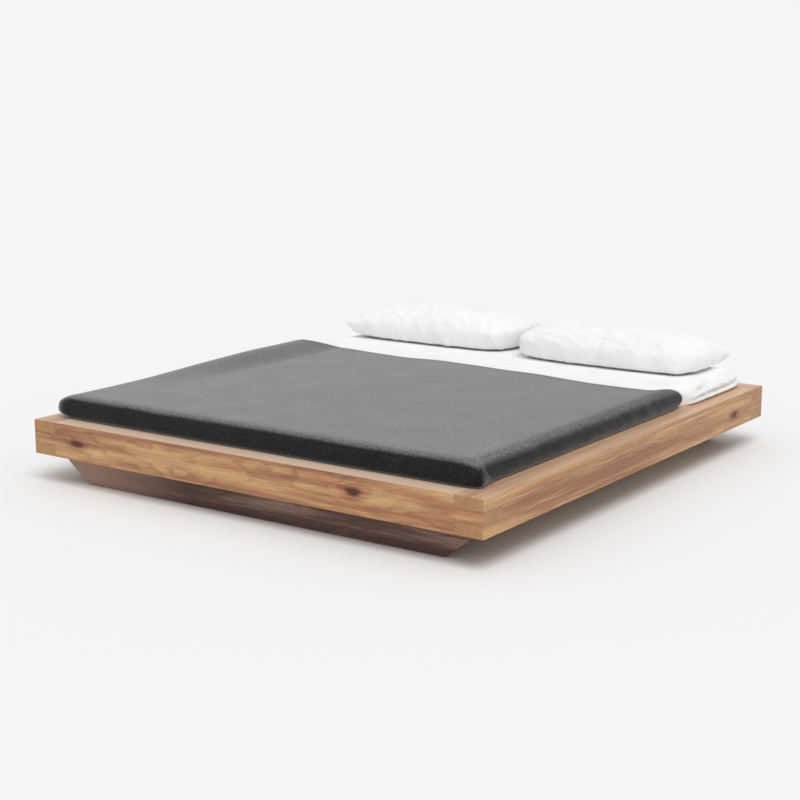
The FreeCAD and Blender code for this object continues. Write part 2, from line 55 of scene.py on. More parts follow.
def addNode(tree, kind, inputs=None, stops=None, **settings):
    node = tree.nodes.new("ShaderNode" + kind)
    for key, value in settings.items():
        setattr(node, key, value)
    for key, value in (inputs or {}).items():
        if isinstance(value, bpy.types.Node):
            value = value.outputs[0]
        if isinstance(value, bpy.types.NodeSocket):
            tree.links.new(value, node.inputs[key])
        else:
            node.inputs[key].default_value = value
    if stops:  # a colour ramp: [(place, "#rrggbb" or grey level), ...]
        ramp = node.color_ramp
        while len(ramp.elements) < len(stops):
            ramp.elements.new(0.5)
        for element, (place, colour) in zip(ramp.elements, stops):
            element.position = place
            element.color = linear(colour) if isinstance(colour, str) else [colour] * 3 + [1]
    return node


def newMaterial(name):
    material = bpy.data.materials.new(name)
    material.use_nodes = True
    tree = material.node_tree
    tree.nodes.clear()
    surface = tree.nodes.new("ShaderNodeBsdfPrincipled")
    output = tree.nodes.new("ShaderNodeOutputMaterial")
    tree.links.new(surface.outputs[0], output.inputs["Surface"])
    return material, tree, surface


def newPiece(name, bm, materials, smooth=True):
    mesh = bpy.data.meshes.new(name)
    bm.to_mesh(mesh)
    bm.free()
    for material in materials:
        mesh.materials.append(material)
    mesh.polygons.foreach_set("use_smooth", [smooth] * len(mesh.polygons))
    piece = bpy.data.objects.new(name, mesh)
    bpy.context.scene.collection.objects.link(piece)
    return piece


def soften(a, b, x):  # 0 below a, 1 above b, smooth between
    t = min(1, max(0, (x - a) / (b - a)))
    return t * t * (3 - 2 * t)


def smoothLine(points, x):  # a smooth line through (x, value) points
    if x <= points[0][0]:
        return points[0][1]
    for i, ((x0, y0), (x1, y1)) in enumerate(zip(points, points[1:])):
        if x <= x1:
            (xa, ya), (xb, yb) = points[max(0, i - 1)], points[min(len(points) - 1, i + 2)]
            t = (x - x0) / (x1 - x0)
            slope0, slope1 = (y1 - ya) / (x1 - xa) * (x1 - x0), (yb - y0) / (xb - x0) * (x1 - x0)
            return ((2 * t ** 3 - 3 * t * t + 1) * y0 + (t ** 3 - 2 * t * t + t) * slope0
                    + (3 * t * t - 2 * t ** 3) * y1 + (t ** 3 - t * t) * slope1)
    return points[-1][1]


# The camera as fitted to the photo, and a soft sun from the front right.
view = {
    "place": (3.4751, -5.0852, 1.5250), "tilt": 78.304, "turn": 34.987, "lens": 70.393,
    "paper": "#f5f5f5", "floor": "#f4f4f4", "floorHalf": 90,   # the pale background and the floor
    "worldLight": 0.62, "sunLight": 1.42, "sunSoft": 36, "sunFrom": (0.34, -0.36, 0.87),
}

camera = bpy.data.objects.new("camera", bpy.data.cameras.new("camera"))
camera.data.lens = view["lens"]
camera.location = view["place"]
camera.rotation_euler = (math.radians(view["tilt"]), 0, math.radians(view["turn"]))
bpy.context.scene.collection.objects.link(camera)
bpy.context.scene.camera = camera
bpy.context.scene.view_settings.view_transform = "Standard"

sun = bpy.data.objects.new("sun", bpy.data.lights.new("sun", "SUN"))
sun.data.energy = view["sunLight"]
sun.data.angle = math.radians(view["sunSoft"])
sun.rotation_euler = Vector(view["sunFrom"]).to_track_quat("Z", "Y").to_euler()
bpy.context.scene.collection.objects.link(sun)

world = bpy.data.worlds.new("studio")
bpy.context.scene.world = world
world.use_nodes = True
tree = world.node_tree
tree.nodes.clear()
path = addNode(tree, "LightPath")
seen = addNode(tree, "Math", {0: path.outputs["Is Camera Ray"], 1: path.outputs["Is Glossy Ray"]},
               operation="MAXIMUM")
seen = addNode(tree, "Math", {0: seen, 1: path.outputs["Is Transmission Ray"]}, operation="MAXIMUM")
light = addNode(tree, "Background", {"Color": linear("#ffffff"), "Strength": view["worldLight"]})
paper = addNode(tree, "Background", {"Color": linear(view["paper"]), "Strength": 1})
mixed = addNode(tree, "MixShader", {0: seen, 1: light, 2: paper})
addNode(tree, "OutputWorld", {"Surface": mixed})

paintedFloor, tree, surface = newMaterial("mattePaintedFloor")  # flat white studio paint
surface.inputs["Base Color"].default_value = linear(view["floor"])
surface.inputs["Roughness"].default_value = 1
surface.inputs["Specular IOR Level"].default_value = 0
bm = bmesh.new()
bmesh.ops.create_grid(bm, x_segments=1, y_segments=1, size=view["floorHalf"])
floor = newPiece("floor", bm, [paintedFloor], smooth=False)
print("camera, floor and light set")


# The woods' colours: light, mid and dark wood, late wood, end grain, knots, and the painted sheen
#  of upper faces. ring: a year's growth in mm.
oakLook = {
    "light": "#dcb27d", "mid": "#c09166", "dark": "#9e6b4d", "late": "#80513a", "end": "#bb9061",
    "knotCore": "#47211a", "knotRed": "#864736", "paintedTopSheen": "#e6cdb8", "ring": 6.5, "roughness": (0.36, 0.5),
}
stainLook = {
    "light": "#a98b7c", "mid": "#684e44", "dark": "#523b34", "late": "#483530", "end": "#55413a",
    "knotCore": "#2b1c18", "knotRed": "#4a2f27", "paintedTopSheen": "#8d7468", "ring": 7.5, "roughness": (0.45, 0.6),
}
pineLook = {
    "light": "#e3c794", "mid": "#d9b97f", "dark": "#c79f63", "late": "#b98a4e", "end": "#c8a674",
    "knotCore": "#6b3f22", "knotRed": "#9a6236", "paintedTopSheen": "#eedcb6", "ring": 4.0, "roughness": (0.5, 0.65),
}
# The corner joints: where they begin across and along the bed, the heights between the fingers,
# and half the glue line's width.
joint = {"inner": (0.900, 1.000), "fingers": (0.156, 0.200), "line": 0.0008}

# Fibres of several sizes, each a noise drawn out along the grain: per metre, detail, roughness.
fibres = {
    "broad": ((0.9, 15, 15), 3, 0.5), "tone": ((2.4, 50, 50), 4, 0.6), "streak": ((5, 190, 190), 4, 0.6),
    "pore": ((28, 760, 760), 2, 0.5), "warp": ((1.0, 4.5, 4.5), 3, 0.5), "ripple": ((5, 22, 22), 2, 0.5),
}
ringBends = {"warp": 0.115, "ripple": 0.004, "tone": 0.003, "streak": 0.004}   # in metres
ringPitch = {"faces": 1, "ends": 1.2}   # the ends show wider rings, which can be told apart from afar


# Solid timber, sawn, sanded and oiled: growth rings about the pith cut the faces in flames, the
# ends show the rings themselves, fibres and pores run along the grain, and it has a satin gloss.
# knots and hearts: (centre in mm, size in mm), a heart being a reddish streak of heartwood.
# cut: which fingers end at the joint line. shift: where in the tree it was sawn. paintedTopSheen: painted
#  sheen on upper faces. paintedLightLeft: (x, x, share), painted light, paler from the second x to the first.
def solidWood(name, look, grain, pith, knots=(), hearts=(), cut=None, shift=0.0, paintedTopSheen=0.2, paintedLightLeft=None):
    material, tree, surface = newMaterial(name)
    add = functools.partial(addNode, tree)
    place = add("TexCoord")
    apart = add("SeparateXYZ", {0: place.outputs["Object"]})
    order = {"x": "XYZ", "y": "YXZ"}[grain]
    along = add("CombineXYZ", {i: apart.outputs[axis] for i, axis in enumerate(order)})
    along = add("VectorMath", {0: along, 1: (shift, 0, 0)}, operation="ADD")

    noises = {}
    for key, (scale, detail, rough) in fibres.items():
        stretched = add("VectorMath", {0: along, 1: scale}, operation="MULTIPLY")
        noises[key] = add("TexNoise", {"Vector": stretched, "Scale": 1, "Detail": detail, "Roughness": rough})
    broad, tone, streak, pore = (noises[key] for key in ("broad", "tone", "streak", "pore"))

    # growth rings about the pith, warped along the grain and feathered by the fibres
    off = add("VectorMath", {0: along, 1: (0, pith[0], pith[1])}, operation="SUBTRACT")
    off = add("VectorMath", {0: off, 1: (0, 1, 1)}, operation="MULTIPLY")
    radius = add("VectorMath", {0: off}, operation="LENGTH").outputs["Value"]
    plainRadius = radius   # the rings that the ends show, without the warp and the feathering
    for key, amount in ringBends.items():
        bend = add("Math", {0: noises[key], 1: amount, 2: -amount / 2}, operation="MULTIPLY_ADD")
        radius = add("Math", {0: radius, 1: bend}, operation="ADD")

    # how far the nearest knot and the nearest heartwood streak are, in their own sizes
    nearest = []
    for spots, uneven in ((knots, 1.5), (hearts, 1.9)):
        near = None
        for centre, size in spots:
            away = add("VectorMath", {0: place.outputs["Object"], 1: [c / 1000 for c in centre]},
                       operation="SUBTRACT")
            away = add("VectorMath", {0: away, 1: [2000 / s for s in size]}, operation="MULTIPLY")
            away = add("VectorMath", {0: away}, operation="LENGTH").outputs["Value"]
            near = away if near is None else add("Math", {0: near, 1: away}, operation="MINIMUM")
        if near is not None:
            wobble = add("Math", {0: tone, 1: uneven, 2: -uneven / 2}, operation="MULTIPLY_ADD")
            near = add("Math", {0: wobble, 1: near}, operation="ADD")
        nearest.append(near)
    knot, heart = nearest
    if knot is not None:  # the rings run round a knot
        swirl = add("MapRange", {"Value": knot, "From Min": 0.4, "From Max": 3.2, "To Min": 0.007,
                                 "To Max": 0}, interpolation_type="SMOOTHSTEP")
        radius = add("Math", {0: radius, 1: swirl}, operation="ADD")
    rings = []
    for distance, where in ((radius, "faces"), (plainRadius, "ends")):
        years = add("Math", {0: distance, 1: ringPitch[where] * look["ring"] / 1000}, operation="DIVIDE")
        ring = add("Math", {0: years}, operation="FRACT")
        rings.append(add("ValToRGB", {0: ring}, stops=[(0, 0.0), (0.45, 0.06), (0.9, 1.0), (0.98, 0.0)]))
    ring, endRing = rings
    strength = add("MapRange", {"Value": broad, "From Min": 0.62, "From Max": 0.38, "To Min": 0.2,
                                "To Max": 0.8})
    ring = add("Math", {0: ring, 1: strength}, operation="MULTIPLY")

    # light and dark bands, and the layers over them: (how much it shows, its colour)
    halfTone = add("Math", {0: tone, 1: 0.5}, operation="MULTIPLY")
    mixed = add("Math", {0: broad, 1: 0.5, 2: halfTone}, operation="MULTIPLY_ADD")
    colour = add("ValToRGB", {0: mixed},
                 stops=[(0.39, look["dark"]), (0.49, look["mid"]), (0.6, look["light"])])
    layers = []
    if heart is not None:
        red = add("MapRange", {"Value": heart, "From Min": 0.15, "From Max": 1.25, "To Min": 0.8,
                               "To Max": 0}, interpolation_type="SMOOTHSTEP")
        layers.append((red, look["dark"]))
    lines = add("MapRange", {"Value": streak, "From Min": 0.3, "From Max": 0.72, "To Max": 0.5})
    pores = add("MapRange", {"Value": pore, "From Min": 0.60, "From Max": 0.70, "To Max": 0.5})
    layers += [(ring, look["late"]), (lines, look["dark"]), (pores, look["late"])]
    # painted light: paler towards the left, where the shade under the beam is less deep
    if paintedLightLeft:
        paintedLightShare = add("MapRange", {"Value": apart.outputs["X"], "From Min": paintedLightLeft[0], "From Max": paintedLightLeft[1],
                                "To Min": paintedLightLeft[2], "To Max": 0})
        layers.append((paintedLightShare, look["light"]))

    # upper faces painted paler: a painted sheen standing in for the light they reflect
    facing = add("SeparateXYZ", {0: place.outputs["Normal"]})
    paintedTopShare = add("MapRange", {"Value": facing.outputs["Z"], "From Min": 0.8, "From Max": 0.98,
                              "To Max": paintedTopSheen})
    layers.append((paintedTopShare, look["paintedTopSheen"]))

    # end grain drinks more oil, so it is darker
    facing = add("Math", {0: facing.outputs[grain.upper()]}, operation="ABSOLUTE")
    endFace = add("MapRange", {"Value": facing, "From Min": 0.75, "From Max": 0.95, "To Max": 0.78})
    endColour = add("Mix", {0: endRing, 6: linear(look["end"]), 7: linear(look["late"])}, data_type="RGBA")
    layers.append((endFace, endColour.outputs[2]))

    if knot is not None:
        halo = add("MapRange", {"Value": knot, "From Min": 0.7, "From Max": 2.4, "To Min": 0.6,
                                "To Max": 0}, interpolation_type="SMOOTHSTEP")
        core = add("MapRange", {"Value": knot, "From Min": 0.45, "From Max": 1.15, "To Min": 0.9,
                                "To Max": 0}, interpolation_type="SMOOTHSTEP")
        layers += [(halo, look["knotRed"]), (core, look["knotCore"])]

    if cut:  # a thin dark glue line where this beam meets its neighbour
        across = "X" if cut["line"] == "x" else "Y"
        inner = joint["inner"][0 if cut["line"] == "x" else 1]
        reach = add("Math", {0: apart.outputs[across]}, operation="ABSOLUTE")
        atLine = add("Math", {0: reach, 1: inner, 2: joint["line"]}, operation="COMPARE")
        low, high = joint["fingers"]
        middle = add("Math", {0: apart.outputs["Z"], 1: (low + high) / 2,
                              2: (high - low) / 2 - joint["line"] / 4}, operation="COMPARE")
        if cut["ends"] == "outer":
            wanted = add("Math", {0: 1, 1: middle}, operation="SUBTRACT")
        elif cut["ends"] == "middle":
            wanted = middle
        else:  # a side beam: its middle part ends at the foot, its outer parts at the head
            headSide = add("Math", {0: apart.outputs["Y"], 1: 0}, operation="GREATER_THAN")
            wanted = add("Math", {0: headSide, 1: middle}, operation="SUBTRACT")
            wanted = add("Math", {0: wanted}, operation="ABSOLUTE")
        seam = add("Math", {0: atLine, 1: wanted}, operation="MULTIPLY")
        beyond = add("Math", {0: reach, 1: inner}, operation="GREATER_THAN")
        for height in (low, high):
            level = add("Math", {0: apart.outputs["Z"], 1: height, 2: joint["line"]}, operation="COMPARE")
            level = add("Math", {0: level, 1: beyond}, operation="MULTIPLY")
            seam = add("Math", {0: seam, 1: level}, operation="MAXIMUM")
        seam = add("Math", {0: seam, 1: 0.55}, operation="MULTIPLY")
        layers.append((seam, look["knotCore"]))

    for shown, over in layers:
        over = linear(over) if isinstance(over, str) else over
        colour = add("Mix", {0: shown, 6: colour, 7: over}, data_type="RGBA").outputs[2]
    tree.links.new(colour, surface.inputs["Base Color"])
    gloss = add("MapRange", {"Value": streak, "To Min": look["roughness"][0], "To Max": look["roughness"][1]})
    tree.links.new(gloss.outputs[0], surface.inputs["Roughness"])
    surface.inputs["Specular IOR Level"].default_value = 0.32
    raised = add("Math", {0: streak, 1: 0.5}, operation="MULTIPLY")
    height = add("Math", {0: pores, 1: -0.9, 2: raised}, operation="MULTIPLY_ADD")
    bump = add("Bump", {"Strength": 0.35, "Distance": 0.0006, "Height": height})
    tree.links.new(bump.outputs[0], surface.inputs["Normal"])
    return material


# Knots in mm, in the bed's frame. The sizes are the visible ellipse and its depth.
footKnots = [((-782, -1108, 176), (70, 60, 30)), ((505, -1108, 188), (76, 64, 38)),
             ((520, -1000, 205), (50, 40, 26))]
headKnots = [((-610, 1108, 188), (76, 60, 34)), ((120, 1108, 150), (54, 50, 26)),
             ((705, 1108, 204), (60, 50, 28)), ((380, 1060, 243), (70, 26, 50))]
rightKnots = [((1008, 819, 169), (60, 74, 30))]
leftKnots = [((-1008, 640, 186), (60, 76, 32)), ((-1008, -260, 160), (60, 60, 28)),
             ((-1008, -850, 205), (50, 46, 22)), ((-955, 250, 243), (26, 70, 50))]

footHearts = [((220, -1108, 238), (860, 60, 24)), ((-250, -1108, 122), (1100, 60, 24)),
              ((480, -1108, 136), (620, 60, 24)), ((850, -1108, 190), (260, 60, 44)),
              ((-640, -1108, 226), (420, 60, 16)), ((868, -1108, 178), (90, 50, 34))]
rightHearts = [((1008, -820, 172), (60, 460, 46)), ((1008, -260, 126), (60, 900, 20)),
               ((1008, 420, 214), (60, 620, 18))]

# The pith is given in metres from the middle of the bed: across and up, or along and up.
woods = {
    # the foot beam's upper face gets the strongest painted sheen
    "foot_beam": solidWood("oiledOakFoot", oakLook, "x", (-0.78, 0.155), footKnots, footHearts,
                           cut={"line": "x", "ends": "outer"}, shift=0.0, paintedTopSheen=0.8),
    "head_beam": solidWood("oiledOakHead", oakLook, "x", (0.80, 0.20), headKnots,
                           cut={"line": "x", "ends": "middle"}, shift=7.3, paintedTopSheen=0.3),
    "side_beam_right": solidWood("oiledOakRight", oakLook, "y", (0.70, 0.42), rightKnots, rightHearts,
                                 cut={"line": "y", "ends": "side"}, shift=3.1, paintedTopSheen=0.3),
    "side_beam_left": solidWood("oiledOakLeft", oakLook, "y", (-0.66, 0.10), leftKnots,
                                cut={"line": "y", "ends": "side"}, shift=11.7, paintedTopSheen=0.3),
    # the boards across get painted light towards their left end
    "plinthX": solidWood("stainedOakAcross", stainLook, "x", (0.3, -0.2), shift=5.2, paintedLightLeft=(-0.8, -0.3, 0.9)),
    "plinthY": solidWood("stainedOakAlong", stainLook, "y", (0.4, -0.2), shift=9.4),
    "pineX": solidWood("planedPineAcross", pineLook, "x", (0.2, 0.0), shift=2.6),
    "pineY": solidWood("planedPineAlong", pineLook, "y", (0.1, 0.0), shift=4.9),
}
print("woods mixed")


# Fine speckles, for fibres and threads: about 1 / scale metres across, from low to high.
def speckled(tree, scale, low, high, detail=2.0):
    place = addNode(tree, "TexCoord")
    spots = addNode(tree, "TexNoise", {"Vector": place.outputs["Object"], "Scale": scale, "Detail": detail})
    return addNode(tree, "MapRange", {"Value": spots, "From Min": 0.3, "From Max": 0.7,
                                      "To Min": low, "To Max": high})


wavesPerMetre = 2 * math.pi / 20   # the Wave texture's scale for one wave in a metre


# Galvanised steel sheet: cool grey with soft spangles about 6 mm wide.
zincSteel, tree, surface = newMaterial("galvanisedSteel")
place = addNode(tree, "TexCoord")
spangle = addNode(tree, "TexVoronoi", {"Vector": place.outputs["Object"], "Scale": 160})
shade = addNode(tree, "ValToRGB", {0: spangle.outputs["Color"]}, stops=[(0.2, "#a9adb0"), (0.8, "#c6c9cb")])
tree.links.new(shade.outputs[0], surface.inputs["Base Color"])
surface.inputs["Metallic"].default_value = 1
tree.links.new(speckled(tree, 900, 0.28, 0.45).outputs[0], surface.inputs["Roughness"])

# Needled wool felt: matt, with fibres that show as a fine fuzz about 1 mm across.
feltPad, tree, surface = newMaterial("needledFelt")
fuzz = speckled(tree, 1100, 0.0, 1.0, 4)
shade = addNode(tree, "ValToRGB", {0: fuzz}, stops=[(0, "#5b5650"), (1, "#8b857c")])
tree.links.new(shade.outputs[0], surface.inputs["Base Color"])
surface.inputs["Roughness"].default_value = 0.95
bump = addNode(tree, "Bump", {"Strength": 0.6, "Distance": 0.0008, "Height": fuzz})
tree.links.new(bump.outputs[0], surface.inputs["Normal"])

# Polypropylene webbing: cream, woven in ribs 4 mm apart that run along the tape.
tapeWeb, tree, surface = newMaterial("wovenWebbing")
place = addNode(tree, "TexCoord")
ribs = addNode(tree, "TexWave", {"Vector": place.outputs["Object"], "Scale": wavesPerMetre / 0.004},
               bands_direction="X")
shade = addNode(tree, "ValToRGB", {0: ribs}, stops=[(0, "#b9b2a2"), (1, "#dcd6c8")])
tree.links.new(shade.outputs[0], surface.inputs["Base Color"])
surface.inputs["Roughness"].default_value = 0.7
bump = addNode(tree, "Bump", {"Strength": 0.5, "Distance": 0.0005, "Height": ribs})
tree.links.new(bump.outputs[0], surface.inputs["Normal"])

finishes = {
    "foot_beam": woods["foot_beam"], "head_beam": woods["head_beam"],
    "side_beam_left": woods["side_beam_left"], "side_beam_right": woods["side_beam_right"],
    "foot_skid": woods["plinthX"], "head_skid": woods["plinthX"], "plinth_crossrail": woods["plinthX"],
    "plinth_rail_left": woods["plinthY"], "plinth_rail_right": woods["plinthY"],
    "plinth_blocks": woods["pineY"], "ledger_left": woods["pineY"], "ledger_right": woods["pineY"],
    "centre_beam": woods["pineY"], "slats_left": woods["pineX"], "slats_right": woods["pineX"],
    "felt_glides": feltPad, "webbing_left": tapeWeb, "webbing_right": tapeWeb,
}
softNodes = ("mattress", "fitted_sheet", "blanket", "pillow_left", "pillowcase_left", "pillow_right",
             "pillowcase_right")
for name, node in nodes.items():
    if name in softNodes:
        continue
    finish = finishes.get(name, zincSteel)
    if not node.material_slots:
        node.data.materials.append(finish)
    for slot in node.material_slots:
        slot.material = finish
print("finishes on the frame")


# Cotton percale: plain weave, matt, nearly white. The threads are drawn 1.6 mm apart, coarser
# than real ones, so that they show at all.
percale, tree, surface = newMaterial("cottonPercale")
place = addNode(tree, "TexCoord")
slub = addNode(tree, "TexNoise", {"Vector": place.outputs["Object"], "Scale": 9, "Detail": 5})
shade = addNode(tree, "ValToRGB", {0: slub}, stops=[(0.3, "#f0f0f1"), (0.7, "#f7f7f7")])
tree.links.new(shade.outputs[0], surface.inputs["Base Color"])
surface.inputs["Roughness"].default_value = 0.85
surface.inputs["Specular IOR Level"].default_value = 0.2
weave = addNode(tree, "TexNoise", {"Vector": place.outputs["Object"], "Scale": 620, "Detail": 2})
crease = addNode(tree, "TexNoise", {"Vector": place.outputs["Object"], "Scale": 26, "Detail": 3,
                                    "Distortion": 0.6})
bump = addNode(tree, "Bump", {"Strength": 0.12, "Distance": 0.0006, "Height": weave})
bump = addNode(tree, "Bump", {"Strength": 0.25, "Distance": 0.004, "Height": crease, "Normal": bump})
tree.links.new(bump.outputs[0], surface.inputs["Normal"])

# Boiled wool, melange: dark grey yarn with light fibres. Its top is painted pale and its sides painted
#  dark, as painted light and shade, the top less pale towards the head as a painted fall-off of the light.
#  The nap's sheen lightens it where the eye skims over it. Flecks about 10 mm across.
wool, tree, surface = newMaterial("melangeWool")
flat = addNode(tree, "UVMap", uv_map="flat")
fleck = addNode(tree, "TexNoise", {"Vector": flat, "Scale": 95, "Detail": 4, "Roughness": 0.75})
drift = addNode(tree, "TexNoise", {"Vector": flat, "Scale": 9, "Detail": 4})
drifting = addNode(tree, "Math", {0: drift, 1: 0.15}, operation="MULTIPLY")
blend = addNode(tree, "Math", {0: fleck, 1: 0.85, 2: drifting}, operation="MULTIPLY_ADD")
# painted shade for the sides and painted light for the top: shaded and lit copies of one yarn
paintedShadedSides = addNode(tree, "ValToRGB", {0: blend},
                stops=[(0.38, "#151617"), (0.5, "#1d1e1f"), (0.62, "#2c2d2e")])
paintedLitTop = addNode(tree, "ValToRGB", {0: blend},
                  stops=[(0.40, "#4f5153"), (0.5, "#606264"), (0.60, "#7c7e81")])
place = addNode(tree, "TexCoord")
facing = addNode(tree, "SeparateXYZ", {0: place.outputs["Normal"]})
# the painted top light reaches a little down the right side too, the side the sun falls on
paintedLightUpAndRight = addNode(tree, "Math", {0: facing.outputs["X"], 1: 0.3, 2: facing.outputs["Z"]},
                  operation="MULTIPLY_ADD")
paintedTopShare = addNode(tree, "MapRange", {"Value": paintedLightUpAndRight, "From Min": 0.62, "From Max": 0.98},
                 interpolation_type="SMOOTHSTEP", name="paintedTopLight")
lengthwise = addNode(tree, "SeparateXYZ", {0: flat})
# painted fall-off: the painted top light weakens towards the head
paintedLightFalloff = addNode(tree, "MapRange", {"Value": lengthwise.outputs["Y"], "From Min": -0.9, "From Max": 0.3,
                                  "To Min": 1, "To Max": 0.66})
paintedTopShare = addNode(tree, "Math", {0: paintedTopShare, 1: paintedLightFalloff}, operation="MULTIPLY")
shade = addNode(tree, "Mix", {0: paintedTopShare, 6: paintedShadedSides, 7: paintedLitTop}, data_type="RGBA")
tree.links.new(shade.outputs[2], surface.inputs["Base Color"])
surface.inputs["Roughness"].default_value = 0.9
surface.inputs["Specular IOR Level"].default_value = 0.15
surface.inputs["Sheen Weight"].default_value = 1
surface.inputs["Sheen Roughness"].default_value = 0.33
surface.inputs["Sheen Tint"].default_value = linear("#f6f8f9")
nap = addNode(tree, "Bump", {"Strength": 0.12, "Distance": 0.0012, "Height": fleck})
tree.links.new(nap.outputs[0], surface.inputs["Normal"])

# The same wool without the painted top light, painted dark all over like the sides, for the folded corners.
shadedWool = wool.copy()
shadedWool.name = "shadedWoolCopy"
shadedWool.node_tree.nodes["paintedTopLight"].inputs["To Max"].default_value = 0

# The folded corner's edge: the same wool painted pale grey, a painted highlight where the edge catches the
# light.
paintedEdgeHighlight, tree, surface = newMaterial("flapEdgePaintedHighlight")
fuzz = speckled(tree, 420, 0.0, 1.0, 3)
shade = addNode(tree, "ValToRGB", {0: fuzz}, stops=[(0, "#77797a"), (1, "#a2a4a4")])
tree.links.new(shade.outputs[0], surface.inputs["Base Color"])
surface.inputs["Roughness"].default_value = 0.85

# Mattress ticking: cotton twill with pale blue-grey stripes 30 mm apart.
ticking, tree, surface = newMaterial("cottonTicking")
place = addNode(tree, "TexCoord")
stripes = addNode(tree, "TexWave", {"Vector": place.outputs["Object"], "Scale": wavesPerMetre / 0.030},
                  bands_direction="X")
shade = addNode(tree, "ValToRGB", {0: stripes}, stops=[(0.82, "#efece6"), (0.9, "#b9c0c6")])
tree.links.new(shade.outputs[0], surface.inputs["Base Color"])
surface.inputs["Roughness"].default_value = 0.85
twill = speckled(tree, 700, 0.0, 1.0)
bump = addNode(tree, "Bump", {"Strength": 0.3, "Distance": 0.0006, "Height": twill})
tree.links.new(bump.outputs[0], surface.inputs["Normal"])
print("cloth materials mixed")


# A smooth line down a cloth's edge through (out, height) points: the lengths so far and the points.
def edgeLine(points):
    knots = [Vector(p) for p in points]
    knots = [2 * knots[0] - knots[1], *knots, 2 * knots[-1] - knots[-2]]
    lengths, line = [0.0], [knots[1]]
    for before, a, b, after in zip(knots, knots[1:], knots[2:], knots[3:]):
        for p in interpolate_bezier(a, a + (b - before) / 6, b - (after - a) / 6, b, 9)[1:]:
            lengths.append(lengths[-1] + (p - line[-1]).length)
            line.append(p)
    return lengths, line


def alongLine(edge, share):  # the point at a share of the line's length
    lengths, line = edge
    length = share * lengths[-1]
    i = min(max(1, bisect.bisect_left(lengths, length)), len(line) - 1)
    return line[i - 1].lerp(line[i], (length - lengths[i - 1]) / (lengths[i] - lengths[i - 1]))


def outAt(edge, height):  # how far out a line is where it first comes down to a height
    for p, q in zip(edge[1], edge[1][1:]):
        if q.y <= height:
            return p.x + (q.x - p.x) * (p.y - height) / max(1e-9, p.y - q.y)
    return edge[1][-1].x


# Lays the point (u, v) of a flat cloth over a block: level inside the core, and past its edge
# down the side line and the end line, mixed at the corners. square: 0 is a round corner, 1 sharp.
def wrapPoint(u, v, core, sideLine, endLine, square):
    pastU = max(0, abs(u) - core[0]) / sideLine[0][-1]
    pastV = max(0, abs(v) - core[1]) / endLine[0][-1]
    share = min(1, max(pastU, pastV))
    x = math.copysign(min(abs(u), core[0]), u)
    y = math.copysign(min(abs(v), core[1]), v)
    if share == 0:
        return Vector((x, y, sideLine[1][0].y))
    size = math.hypot(pastU, pastV)
    du, dv = pastU / size, pastV / size
    p = alongLine(sideLine, share).lerp(alongLine(endLine, share), dv * dv)
    out = p.x if du * dv == 0 else max(0.004, p.x) * (1 + square * (1 / max(du, dv) - 1))
    return Vector((x + math.copysign(du * out, u), y + math.copysign(dv * out, v), p.y))


def steps(low, high, coarse, fine, bands):  # places along a cloth, finer in a band at each end
    marks = [low, low + bands[0], high - bands[1], high]
    places = []
    for a, b, step in zip(marks, marks[1:], (fine, coarse, fine)):
        count = math.ceil((b - a) / step)
        places += [a + (b - a) * k / count for k in range(count)]
    return places + [high]


# A flat cloth with its lines at the given places, and its flat size in metres as UV.
def flatCloth(bm, across, along):
    flat = bm.loops.layers.uv.get("flat") or bm.loops.layers.uv.new("flat")
    made = bmesh.ops.create_grid(bm, x_segments=len(across) - 1, y_segments=len(along) - 1, size=0.5)["verts"]
    for vert in made:
        vert.co.x = across[round((vert.co.x + 0.5) * (len(across) - 1))]
        vert.co.y = along[round((vert.co.y + 0.5) * (len(along) - 1))]
    for face in {f for v in made for f in v.link_faces}:
        for loop in face.loops:
            loop[flat].uv = loop.vert.co.xy
    return made


# Fitted sheet. Its lines run from the core's edge to the lip under the mattress, drawn tight, or
# loose over the beams towards the head.
fitted = {
    "thick": 0.0015, "corner": 0.060, "square": 0.8,
    "coarse": 0.026, "fine": 0.0085, "bandsAcross": (0.32, 0.32), "bandsAlong": (0.03, 0.62),
    "tight": [(0, 0.3272), (0.022, 0.3272), (0.040, 0.3245), (0.054, 0.314), (0.0601, 0.299),
              (0.0601, 0.270), (0.0601, 0.245), (0.0601, 0.225), (0.0601, 0.195), (0.054, 0.178),
              (0.040, 0.1675), (0.022, 0.1650), (-0.010, 0.1650), (-0.050, 0.1650)],
    "loose": [(0, 0.3272), (0.030, 0.3262), (0.064, 0.3195), (0.093, 0.3085), (0.108, 0.289),
              (0.112, 0.266), (0.108, 0.2500), (0.088, 0.2462), (0.064, 0.2440), (0.0601, 0.228),
              (0.0601, 0.195), (0.050, 0.172), (0.022, 0.1650), (-0.040, 0.1650)],
    "looseFrom": (0.475, 0.585), "looseSteps": 20,
    # slack folds down the loose sides, as heights along the bed: depth, half width, (Y, height) points
    "folds": [(0.018, 0.0072, [(0.50, 0.258), (0.60, 0.263), (0.70, 0.267), (0.83, 0.266), (0.947, 0.269),
                               (1.06, 0.277)]),
              (0.016, 0.0090, [(0.50, 0.270), (0.60, 0.284), (0.71, 0.299), (0.825, 0.306), (0.93, 0.304),
                               (1.06, 0.300)]),
              (0.006, 0.0045, [(0.70, 0.296), (0.78, 0.286), (0.86, 0.281), (0.95, 0.288), (1.06, 0.292)])],
    "waver": 0.003, "crease": 0.0045,
    # where the folds show: along the bed, over the beams, under the shoulder, and out at the sides
    "foldsFrom": (0.50, 0.66), "foldsOver": (0.2475, 0.256), "foldsUnder": (0.318, 0.3265),
    "foldsOut": (0.86, 0.90),
    "ripple": 0.0012, "rippleFrom": (0.42, 0.5), "rippleTo": (0.585, 0.62), "rippleTop": (0.322, 0.327),
}
lo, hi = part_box("fitted_sheet")
